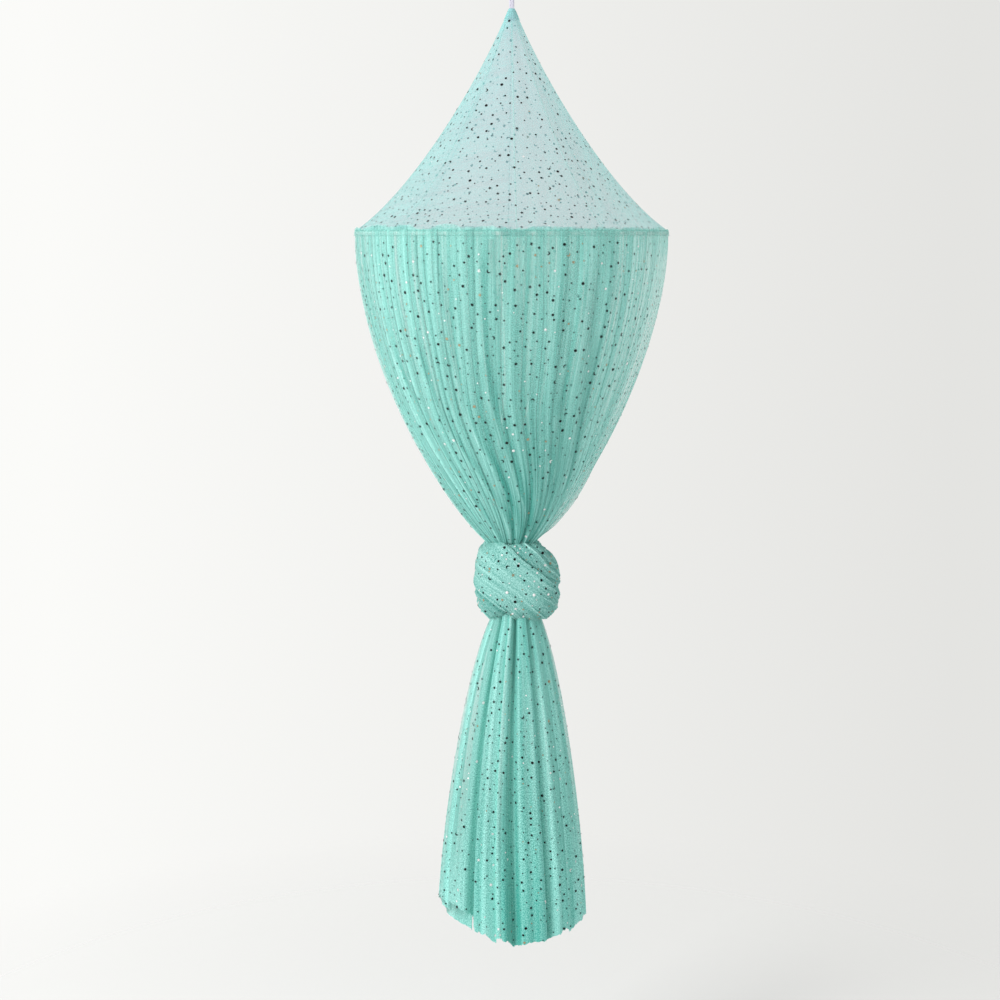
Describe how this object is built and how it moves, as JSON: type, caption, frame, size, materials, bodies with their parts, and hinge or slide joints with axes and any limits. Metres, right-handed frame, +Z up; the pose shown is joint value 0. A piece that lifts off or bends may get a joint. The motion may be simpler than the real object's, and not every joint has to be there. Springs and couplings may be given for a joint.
{
  "type": "bed canopy",
  "caption": "Round hanging net canopy: a cone crown on a hoop, its gathered skirt tied in one large knot with a flared tail, on a strap, ring and ceiling hook.",
  "frame": {"origin": "middle of the ceiling plate's flat upper face, which lies against the ceiling", "axes": "+Z up into the ceiling, -Y the front that the knot's diagonal faces, +X to the right of someone who looks at the front"},
  "size_m": [0.6042, 0.6042, 2.0466],
  "materials": {
    "painted_steel": "satin white paint",
    "steel": "zinc plated steel wire",
    "screw_steel": "zinc plated steel",
    "webbing": "pale lavender grey woven webbing",
    "crown_net": "one sheer layer of mint green tulle",
    "seam_net": "folded mint green tulle, several layers thick",
    "channel_net": "gathered mint green tulle",
    "skirt_net": "gathered mint green tulle with foil dots",
    "knot_net": "bundled mint green tulle",
    "tail_net": "folded mint green tulle with foil dots",
    "rod_plastic": "white plastic rod",
    "sleeve_steel": "plain aluminium sleeve"
  },
  "bodies": {
    "ceiling_fixture": {"ceiling_plate": "painted_steel", "ceiling_hook": "steel", "plate_screw_left": "screw_steel", "plate_screw_right": "screw_steel"},
    "ring": {"hanging_ring": "steel"},
    "canopy": {"hanging_strap": "webbing", "apex_binding": "seam_net", "crown_gore_1": "crown_net", "crown_gore_2": "crown_net", "crown_gore_3": "crown_net", "crown_gore_4": "crown_net", "crown_gore_5": "crown_net", "crown_gore_6": "crown_net", "crown_gore_7": "crown_net", "crown_gore_8": "crown_net", "seam_binding_1": "seam_net", "seam_binding_2": "seam_net", "seam_binding_3": "seam_net", "seam_binding_4": "seam_net", "seam_binding_5": "seam_net", "seam_binding_6": "seam_net", "seam_binding_7": "seam_net", "seam_binding_8": "seam_net", "hoop_rod_1": "rod_plastic", "hoop_rod_2": "rod_plastic", "hoop_rod_3": "rod_plastic", "hoop_rod_4": "rod_plastic", "hoop_connector_1": "sleeve_steel", "hoop_connector_2": "sleeve_steel", "hoop_connector_3": "sleeve_steel", "hoop_connector_4": "sleeve_steel", "hoop_channel": "channel_net", "header_ruffle": "channel_net", "skirt_panel_1": "skirt_net", "skirt_panel_2": "skirt_net", "skirt_panel_3": "skirt_net", "skirt_panel_4": "skirt_net", "knot_bundle": "knot_net", "knot_wrap": "knot_net", "tail_panel_1": "tail_net", "tail_panel_2": "tail_net", "tail_panel_3": "tail_net", "tail_panel_4": "tail_net"}
  },
  "joints": [
    {"name": "ring_swing", "type": "hinge", "parent": "ceiling_fixture", "child": "ring", "pos_m": [0, 0, -0.061], "axis": [0, 1, 0], "range_deg": [-35, 35]},
    {"name": "canopy_swing", "type": "hinge", "parent": "ring", "child": "canopy", "pos_m": [0, 0, -0.0854], "axis": [1, 0, 0], "range_deg": [-35, 35]}
  ]
}
